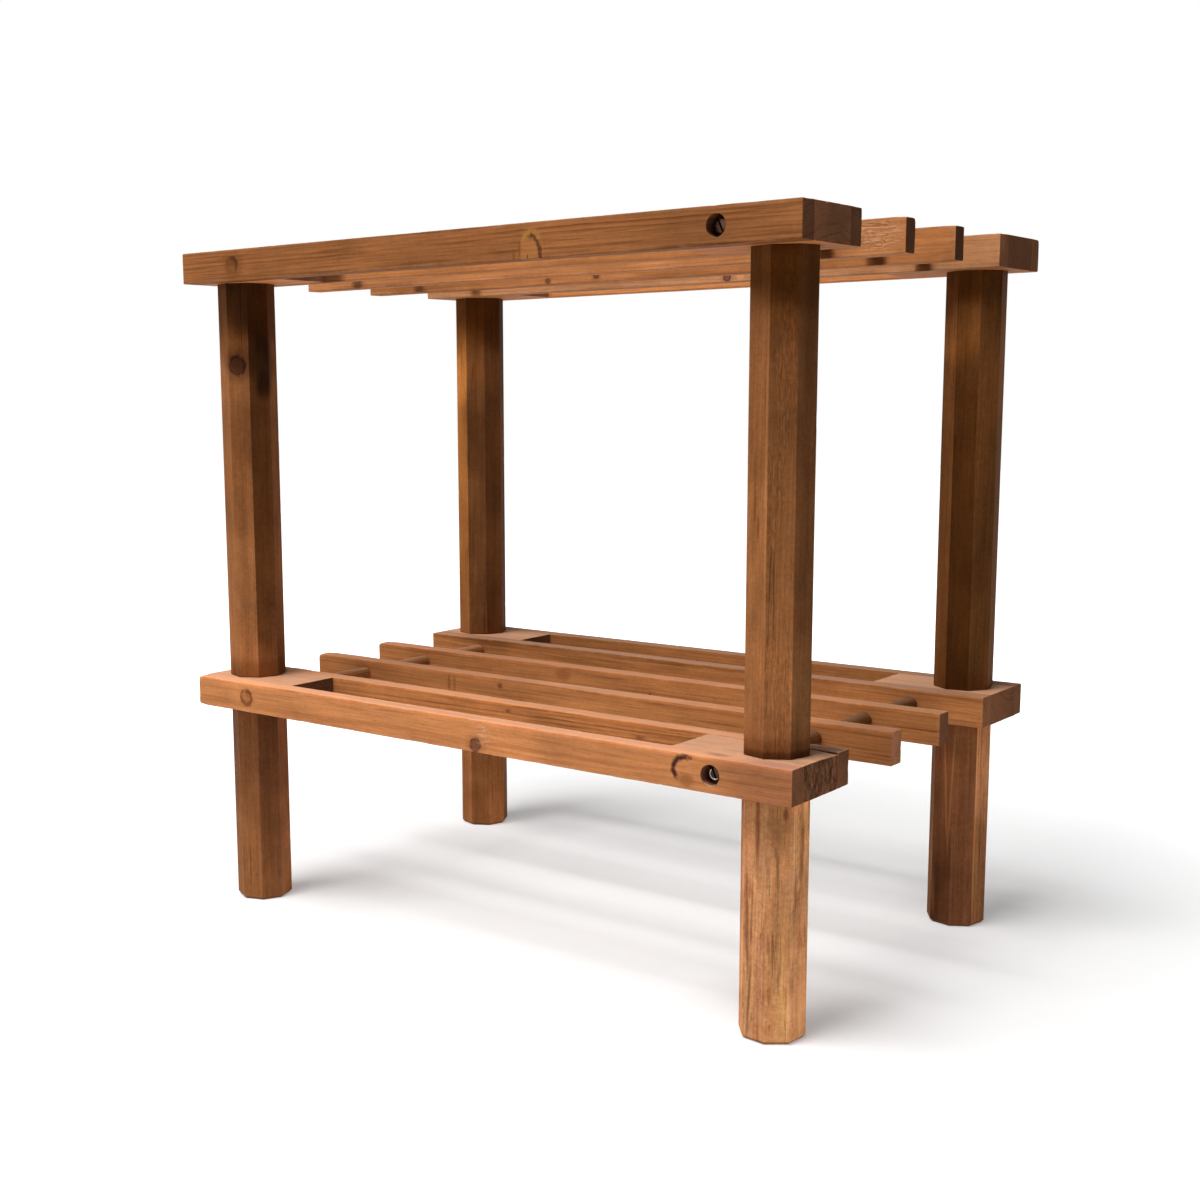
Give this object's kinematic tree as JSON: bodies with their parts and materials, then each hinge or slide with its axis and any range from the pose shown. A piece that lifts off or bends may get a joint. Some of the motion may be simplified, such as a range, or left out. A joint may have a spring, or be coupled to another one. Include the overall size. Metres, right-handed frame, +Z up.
{
  "type": "entryway bench",
  "caption": "Low slatted softwood bench with a shelf below the seat, on octagonal legs tenoned into the rail ends and tied by round cross dowels.",
  "frame": {"origin": "on the floor, under the middle of the seat", "axes": "+X along the slats to the right as seen from the front, +Y from the front to the rear, +Z up"},
  "size_m": [0.48, 0.316, 0.458],
  "materials": {
    "rail_wood": "brown stained softwood, satin, with open grain and dark end grain",
    "leg_wood": "darker brown stained softwood, satin",
    "dowel_wood": "light brown stained hardwood rod, satin",
    "screw_steel": "bright zinc plated, dulled"
  },
  "bodies": {
    "root": {"seat_front_outer_slat": "rail_wood", "seat_front_inner_slat": "rail_wood", "seat_front_middle_slat": "rail_wood", "seat_front_left_block": "rail_wood", "seat_front_right_block": "rail_wood", "seat_rear_outer_slat": "rail_wood", "seat_rear_inner_slat": "rail_wood", "seat_rear_middle_slat": "rail_wood", "seat_rear_left_block": "rail_wood", "seat_rear_right_block": "rail_wood", "seat_left_cross_dowel": "dowel_wood", "seat_right_cross_dowel": "dowel_wood", "seat_dowel_screws": "screw_steel", "seat_dowel_plugs": "dowel_wood", "shelf_front_outer_slat": "rail_wood", "shelf_front_inner_slat": "rail_wood", "shelf_front_middle_slat": "rail_wood", "shelf_front_left_block": "rail_wood", "shelf_front_right_block": "rail_wood", "shelf_rear_outer_slat": "rail_wood", "shelf_rear_inner_slat": "rail_wood", "shelf_rear_middle_slat": "rail_wood", "shelf_rear_left_block": "rail_wood", "shelf_rear_right_block": "rail_wood", "shelf_left_cross_dowel": "dowel_wood", "shelf_right_cross_dowel": "dowel_wood", "shelf_dowel_screws": "screw_steel", "shelf_dowel_plugs": "dowel_wood", "front_left_upper_leg": "leg_wood", "front_left_lower_leg": "leg_wood", "front_right_upper_leg": "leg_wood", "front_right_lower_leg": "leg_wood", "rear_left_upper_leg": "leg_wood", "rear_left_lower_leg": "leg_wood", "rear_right_upper_leg": "leg_wood", "rear_right_lower_leg": "leg_wood"}
  },
  "joints": []
}
